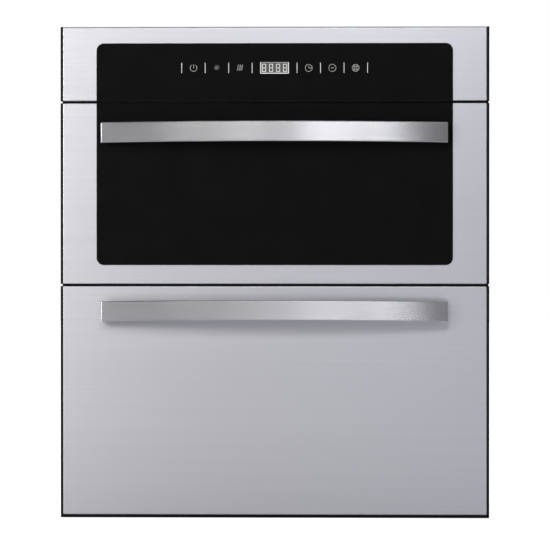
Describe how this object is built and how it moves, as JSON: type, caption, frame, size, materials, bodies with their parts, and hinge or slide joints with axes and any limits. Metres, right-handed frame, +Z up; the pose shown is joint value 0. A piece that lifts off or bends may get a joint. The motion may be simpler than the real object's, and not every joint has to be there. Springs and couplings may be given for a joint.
{
  "type": "dish sterilizer cabinet",
  "caption": "Built-in dish sterilizer cabinet: a fixed touch panel over two pull-out drawers with wire racks, brushed steel fronts, black glass and bowed strap handles.",
  "frame": {"origin": "on the floor under the middle of the whole outline, handles included", "axes": "+X to the user's right as seen from the front, -Y out of the front towards the user, +Z up"},
  "size_m": [0.6, 0.48, 0.688],
  "materials": {
    "brushed_front": "vertical grain, satin",
    "brushed_handle": "horizontal grain, satin",
    "black_glass": "back-printed black, polished",
    "black_trim": "satin",
    "frame_paint": "black powder coat",
    "galvanised": "galvanised sheet",
    "liner_steel": "bright rolled sheet",
    "slide_steel": "zinc plated",
    "rack_wire": "electropolished",
    "screw_steel": "zinc plated",
    "ball_steel": "polished",
    "foot_rubber": "matte",
    "seal_silicone": "matte",
    "mineral_wool": "fibrous",
    "board_green": "solder mask",
    "white_plastic": "moulded",
    "fan_plastic": "moulded, glass filled",
    "heater_fins": "mill",
    "ballast_paint": "grey enamel",
    "lamp_glass": "clear quartz",
    "quartz_glass": "milky quartz",
    "holder_ceramic": "unglazed"
  },
  "bodies": {
    "cabinet": {"base_panel": "galvanised", "cable_grommet": "foot_rubber", "case_screws": "screw_steel", "control_board": "board_green", "control_fascia": "brushed_front", "control_glass": "black_glass", "control_housing": "white_plastic", "divider_shelf": "galvanised", "fan_grille": "liner_steel", "fan_housing": "fan_plastic", "feet": "foot_rubber", "fixed_trims": "black_trim", "front_frame": "frame_paint", "ir_guard": "rack_wire", "ir_tube_holders": "holder_ceramic", "ir_tubes": "quartz_glass", "lamp_ballast": "ballast_paint", "lower_insulation": "mineral_wool", "lower_liner": "liner_steel", "lower_slide_outer": "slide_steel", "power_board": "board_green", "ptc_heater": "heater_fins", "rear_panel": "galvanised", "side_panel_left": "galvanised", "side_panel_right": "galvanised", "switch_housings": "white_plastic", "top_panel": "galvanised", "upper_liner": "liner_steel", "upper_slide_outer": "slide_steel", "uv_lamp": "lamp_glass", "uv_lamp_guard": "rack_wire", "uv_lamp_holders": "white_plastic"},
    "fan": {"fan_impeller": "fan_plastic"},
    "upper_switch": {"upper_switch_plunger": "white_plastic"},
    "lower_switch": {"lower_switch_plunger": "white_plastic"},
    "upper_drawer": {"upper_front_skin": "brushed_front", "upper_front_glass": "black_glass", "upper_front_inner": "liner_steel", "upper_front_gasket": "seal_silicone", "upper_front_trims": "black_trim", "upper_handle": "brushed_handle", "upper_handle_screws": "screw_steel", "upper_drawer_frame": "liner_steel", "upper_slide_inner": "slide_steel", "upper_rack": "rack_wire"},
    "upper_slide_middles": {"upper_slide_middle": "slide_steel"},
    "upper_outer_cages": {"upper_slide_outer_balls": "ball_steel"},
    "upper_inner_cages": {"upper_slide_inner_balls": "ball_steel"},
    "lower_drawer": {"lower_front_skin": "brushed_front", "lower_front_inner": "liner_steel", "lower_front_gasket": "seal_silicone", "lower_front_trims": "black_trim", "lower_handle": "brushed_handle", "lower_handle_screws": "screw_steel", "lower_drawer_frame": "liner_steel", "lower_slide_inner": "slide_steel", "lower_rack": "rack_wire"},
    "lower_slide_middles": {"lower_slide_middle": "slide_steel"},
    "lower_outer_cages": {"lower_slide_outer_balls": "ball_steel"},
    "lower_inner_cages": {"lower_slide_inner_balls": "ball_steel"}
  },
  "joints": [
    {"name": "upper_drawer_slide", "type": "slide", "parent": "cabinet", "child": "upper_drawer", "axis": [0, -1, 0], "range_m": [0, 0.3205]},
    {"name": "upper_slide_middles_travel", "type": "slide", "parent": "cabinet", "child": "upper_slide_middles", "axis": [0, -1, 0], "range_m": [0, 0.16035]},
    {"name": "upper_outer_cages_travel", "type": "slide", "parent": "cabinet", "child": "upper_outer_cages", "axis": [0, -1, 0], "range_m": [0, 0.08022]},
    {"name": "upper_inner_cages_travel", "type": "slide", "parent": "cabinet", "child": "upper_inner_cages", "axis": [0, -1, 0], "range_m": [0, 0.24047]},
    {"name": "lower_drawer_slide", "type": "slide", "parent": "cabinet", "child": "lower_drawer", "axis": [0, -1, 0], "range_m": [0, 0.3205]},
    {"name": "lower_slide_middles_travel", "type": "slide", "parent": "cabinet", "child": "lower_slide_middles", "axis": [0, -1, 0], "range_m": [0, 0.16035]},
    {"name": "lower_outer_cages_travel", "type": "slide", "parent": "cabinet", "child": "lower_outer_cages", "axis": [0, -1, 0], "range_m": [0, 0.08022]},
    {"name": "lower_inner_cages_travel", "type": "slide", "parent": "cabinet", "child": "lower_inner_cages", "axis": [0, -1, 0], "range_m": [0, 0.24047]},
    {"name": "fan_spin", "type": "hinge", "parent": "cabinet", "child": "fan", "pos_m": [0, 0.2175, 0.456], "axis": [0, 1, 0], "continuous": true},
    {"name": "upper_switch_press", "type": "slide", "parent": "cabinet", "child": "upper_switch", "axis": [0, 1, 0], "range_m": [0, 0.0025], "stiffness_N_per_m": 100, "springref_m": -0.002},
    {"name": "lower_switch_press", "type": "slide", "parent": "cabinet", "child": "lower_switch", "axis": [0, 1, 0], "range_m": [0, 0.0025], "stiffness_N_per_m": 100, "springref_m": -0.002}
  ],
  "couplings": [
    {"joint": "upper_slide_middles_travel", "follows": "upper_drawer_slide", "ratio": 0.5},
    {"joint": "upper_outer_cages_travel", "follows": "upper_drawer_slide", "ratio": 0.25},
    {"joint": "upper_inner_cages_travel", "follows": "upper_drawer_slide", "ratio": 0.75},
    {"joint": "lower_slide_middles_travel", "follows": "lower_drawer_slide", "ratio": 0.5},
    {"joint": "lower_outer_cages_travel", "follows": "lower_drawer_slide", "ratio": 0.25},
    {"joint": "lower_inner_cages_travel", "follows": "lower_drawer_slide", "ratio": 0.75}
  ]
}
